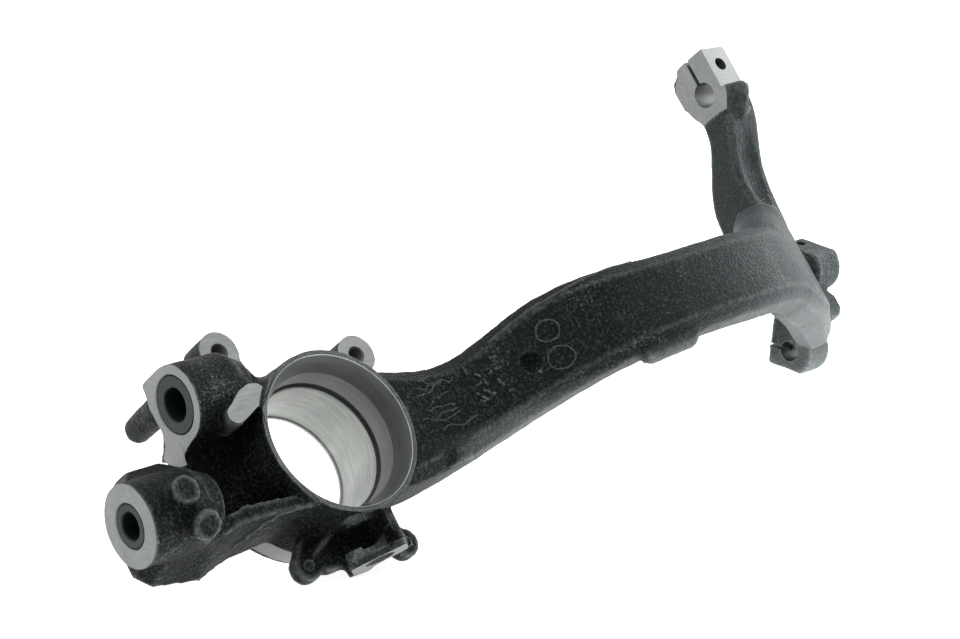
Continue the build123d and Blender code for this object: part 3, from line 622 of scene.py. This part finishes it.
# ---------------------------------------------------------------------------
# Cast marks. Raised on the casting's skin by the sand mould, of the same iron and
# under the same coating: two rings, a worn mark, flow wrinkles, and the flash
# that ran into the mould's joints.
# ---------------------------------------------------------------------------
mark_coating = coating_material(
    "mark_coating", dark=(0.002, 0.0025, 0.0025), middle=(0.010, 0.012, 0.012),
    light=(0.030, 0.035, 0.035), edge_highlight=0.07,
)
worn_coating = coating_material(
    "worn_coating", dark=(0.010, 0.011, 0.011), middle=(0.05, 0.054, 0.053),
    light=(0.12, 0.128, 0.126), edge_highlight=0.05,
)
relief = bmesh.new()


def bead(loops, width, closed=False, slot=0):
    """Adds a raised bead through (place, normal) pairs on the skin."""
    corners = 8
    rings = []
    for number, (place, normal) in enumerate(loops):
        before = loops[number - 1][0] if number or closed else place
        after = loops[(number + 1) % len(loops)][0] if number + 1 < len(loops) or closed else place
        side = (after - before).normalized().cross(normal)
        swell = width * (1 + 0.5 * noise.noise(place * 400))
        ring = []
        for corner in range(corners):
            angle = 2 * math.pi * corner / corners
            lift = side * math.cos(angle) + normal * (math.sin(angle) - 0.5)
            ring.append(relief.verts.new(place + lift * swell / 2 * MM))
        rings.append(ring)
    if not closed:
        relief.faces.new(reversed(rings[0]))
        relief.faces.new(rings[-1])
    sleeve(relief, rings + rings[:1] if closed else rings, [slot] * len(rings))


def cast_line(points, width, closed=False, slot=0):
    """A bead on the neck's inboard face; points are (x, z) in millimetres."""
    hits = [surface.ray_cast(Vector((x, -150, z)) * MM, Vector((0, 1, 0))) for x, z in points]
    bead([(hit[0], hit[1]) for hit in hits if hit[0]], width, closed, slot)


def flash_line(points, width):
    """A ragged fin of flash along the nearest skin; points are (x, y, z) in millimetres."""
    steps = 5
    ragged = 1.5
    loops = []
    for start, end in zip(points, points[1:]):
        for step in range(steps):
            place = Vector(start).lerp(Vector(end), step / steps)
            place += Vector((noise.noise(place * 0.17), 0, noise.noise(place * 0.23))) * ragged
            hit = surface.find_nearest(place * MM)
            loops.append((hit[0], hit[1]))
    bead(loops, width)


def scatter(number, seed):
    """A repeatable value from -1 to 1."""
    return max(-1.0, min(1.0, 2 * noise.noise((number * 1.37 + 0.41, seed * 2.73 + 0.29, 0.5))))


circle_steps = 40
for centre_x, centre_z, radius in ((-12, 136, 6.0), (4.5, 136, 6.6)):
    circle = []
    for step in range(circle_steps):
        angle = 2 * math.pi * step / circle_steps
        reach = radius + 0.35 * scatter(step * 0.2, radius)
        circle.append((centre_x + reach * math.cos(angle), centre_z + reach * math.sin(angle)))
    cast_line(circle, 1.25, closed=True)
# A worn generic mark: short strokes that spell nothing.
strokes_a_row = 5
for stroke in range(20):
    x = -8 + (stroke % strokes_a_row) * 4.4 + 3.2 * scatter(stroke, 3)
    z = 92 + (stroke // strokes_a_row) * 4.2 + 3.0 * scatter(stroke, 7)
    lean = math.pi * scatter(stroke, 11)
    half = 1.6 + scatter(stroke, 5)
    step_x = half * math.cos(lean)
    step_z = half * math.sin(lean)
    cast_line([(x - step_x, z - step_z), (x + 0.4, z + 0.5), (x + step_x, z + step_z)], 1.7, slot=1)
# Flow wrinkles in the skin where the neck leaves the housing.
for fold in range(10):
    x = -19 + fold * 3.6 + 1.5 * scatter(fold, 2)
    start_z = 62 + 6 * scatter(fold, 4)
    reach = 2.6 + 1.1 * scatter(fold, 6)
    run = []
    for step in range(8):
        drift = step * 0.7 * scatter(fold, 8)
        wriggle = 1.6 * scatter(step * 0.6, fold)
        run.append((x + drift + wriggle, start_z + step * reach))
    cast_line(run, 1.0 + 0.3 * scatter(fold, 10))
# The edge of the lower flange, and the fine seam along the arm.
flange_edge = (
    (30.5, -42, -42), (30.2, -37.4, -51), (30.2, -31.3, -55.5), (31, -23.8, -59),
    (32, -16, -63), (34, -10, -68),
)
arm_seam = (
    (-106, -74, 362.6), (-98, -69, 362), (-90.5, -65, 361.7), (-81, -61, 362),
    (-72, -59.4, 362), (-61, -60, 362),
)
# Flash fins: along the neck's outer corner, and a shorter one beside it.
neck_fin = (
    (-22, -57, 106), (-28, -69, 130), (-31, -78, 149), (-33, -86, 168), (-34, -91, 186),
    (-32, -97, 198),
)
short_fin = ((-29, -74, 140), (-33, -82, 156), (-35, -88, 172))
for points, width in ((flange_edge, 3.0), (arm_seam, 1.1), (neck_fin, 2.6), (short_fin, 2.2)):
    flash_line(points, width)

marks = to_mesh(relief, "cast_marks")
marks.data.materials.append(mark_coating)
marks.data.materials.append(worn_coating)
marks.data.shade_smooth()
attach(marks, "root")

# ---------------------------------------------------------------------------
# Ball joint bushes. Hardened steel, turned, with a tapered bore for the joint's
# pin; each is pressed up into its boss until it sits just under the milled face.
# ---------------------------------------------------------------------------
bush_length = 30
outer_chamfer = 0.8
mouth_chamfer = 0.6
bore_taper = 1.5
bushes = (
    ("rear_ball_joint_bush", rear_face, rear_seat_radius, 8.7),
    ("front_ball_joint_bush", front_face, front_seat_radius, 7.0),
)
for name, face, outer, bore in bushes:
    section = (
        (0, bore + mouth_chamfer), (0, outer - outer_chamfer), (outer_chamfer, outer),
        (bush_length, outer), (bush_length, bore - bore_taper), (mouth_chamfer, bore),
    )
    ring = bmesh.new()
    hoop(
        ring, section, 96,
        lambda along, across, out: face + Vector((across, out, along + bush_drop)) * MM,
    )
    piece = to_mesh(ring, name + "_turned")
    piece.data.materials.append(bush_steel)
    piece.data.shade_smooth()
    piece.data.set_sharp_from_angle(angle=math.radians(30))
    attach(piece, "root")
    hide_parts(name)

# ---------------------------------------------------------------------------
# Camera. It looks at the inboard side of the knuckle from in front and below,
# along the direction that shows the bearing bore and the whole goose neck.
# ---------------------------------------------------------------------------
camera_place = Vector((0.2157, -0.8825, -0.6662))
camera_right = Vector((0.442, -0.5398, 0.7164)).normalized()
camera_forward = Vector((-0.2143, 0.712, 0.6687)).normalized()
camera_up = camera_right.cross(camera_forward)
camera_data = bpy.data.cameras.new("camera")
camera_data.sensor_width = 36.0
camera_data.lens = 80.6
camera_data.clip_end = 50.0
camera = bpy.data.objects.new("camera", camera_data)
camera_turn = Matrix((camera_right, camera_up, -camera_forward)).transposed()
camera.matrix_world = Matrix.Translation(camera_place) @ camera_turn.to_4x4()
bpy.context.scene.collection.objects.link(camera)
bpy.context.scene.camera = camera

# ---------------------------------------------------------------------------
# Stage. A white table under the knuckle, tilted to lie along the lens's view of
# it, a white world for the background, and six soft lamps.
# ---------------------------------------------------------------------------
paper, paper_shader, paper_nodes, paper_links = new_material("white_paper")
paper_shader.inputs["Base Color"].default_value = (0.9, 0.9, 0.9, 1)
paper_shader.inputs["Roughness"].default_value = 0.9
paper_shader.inputs["Emission Color"].default_value = (1, 1, 1, 1)
# The table glows to the camera and in reflections only.
rays = paper_nodes.new("ShaderNodeLightPath")
shown = combine(
    paper_nodes, paper_links, "MAXIMUM", rays.outputs["Is Camera Ray"],
    rays.outputs["Is Glossy Ray"],
)
glow = paper_nodes.new("ShaderNodeMath")
glow.operation = "MULTIPLY"
glow.inputs[1].default_value = 0.85
paper_links.new(shown, glow.inputs[0])
paper_links.new(glow.outputs[0], paper_shader.inputs["Emission Strength"])
# It lets light and the view through from behind, and casts no shadow.
faces = paper_nodes.new("ShaderNodeNewGeometry")
clear = paper_nodes.new("ShaderNodeBsdfTransparent")
either = paper_nodes.new("ShaderNodeMixShader")
passes = combine(
    paper_nodes, paper_links, "MAXIMUM", faces.outputs["Backfacing"],
    rays.outputs["Is Shadow Ray"],
)
paper_links.new(passes, either.inputs["Fac"])
paper_links.new(paper_shader.outputs[0], either.inputs[1])
paper_links.new(clear.outputs[0], either.inputs[2])
paper_links.new(either.outputs[0], paper_nodes["Material Output"].inputs["Surface"])
table_up = Vector((-0.74, -0.67, 0)).normalized()
table_gap = 0.5 * MM
lowest = min(vert.co.dot(table_up) for vert in casting.data.vertices)
table = bmesh.new()
bmesh.ops.create_grid(table, x_segments=1, y_segments=1, size=30)
lay = table_up.to_track_quat("Z", "Y").to_matrix().to_4x4()
table.transform(Matrix.Translation(table_up * (lowest - table_gap)) @ lay)
table_top = bpy.data.meshes.new("table")
table.to_mesh(table_top)
table.free()
table_top.materials.append(paper)
table = bpy.data.objects.new("table", table_top)
bpy.context.scene.collection.objects.link(table)

world = bpy.data.worlds.new("white_room")
bpy.context.scene.world = world
world.use_nodes = True
world_nodes = world.node_tree.nodes
world_links = world.node_tree.links
background = world_nodes["Background"]
background.inputs["Color"].default_value = (1, 1, 1, 1)
# The room is white where it is seen or mirrored, and lights the knuckle at a fifth of that.
rays = world_nodes.new("ShaderNodeLightPath")
through = combine(
    world_nodes, world_links, "MAXIMUM", rays.outputs["Is Glossy Ray"],
    rays.outputs["Is Transmission Ray"],
)
seen = combine(world_nodes, world_links, "MAXIMUM", rays.outputs["Is Camera Ray"], through)
level = climb(world_nodes, world_links, seen, 0.0, 1.0, least=0.2)
world_links.new(level, background.inputs["Strength"])

knuckle_middle = Vector((-0.03, -0.045, 0.14))


def lamp(name, towards, distance, size, power):
    """A square soft lamp aimed at the middle of the knuckle."""
    data = bpy.data.lights.new(name, "AREA")
    data.size = size
    data.energy = power
    light = bpy.data.objects.new(name, data)
    way = Vector(towards).normalized()
    aim = way.to_track_quat("Z", "Y").to_matrix().to_4x4()
    light.matrix_world = Matrix.Translation(knuckle_middle + way * distance) @ aim
    bpy.context.scene.collection.objects.link(light)


lamp("top", camera_up * 1.0 - camera_forward * 0.25, distance=1.3, size=1.0, power=9)
lamp("right", (-0.21, -0.39, 0.89), distance=1.2, size=0.9, power=14)
lamp("front", -camera_forward * 1.0 + camera_up * 0.9, distance=1.5, size=0.5, power=3)
lamp(
    "left", -camera_right * 1.0 - camera_forward * 0.35 + camera_up * 0.2,
    distance=1.3, size=0.8, power=6,
)
lamp("under", (0.90, 0.02, 0.39), distance=1.2, size=1.0, power=24)
lamp("behind", (0.30, 0.72, 0.62), distance=1.2, size=0.9, power=12)

bpy.context.scene.view_settings.view_transform = "Standard"
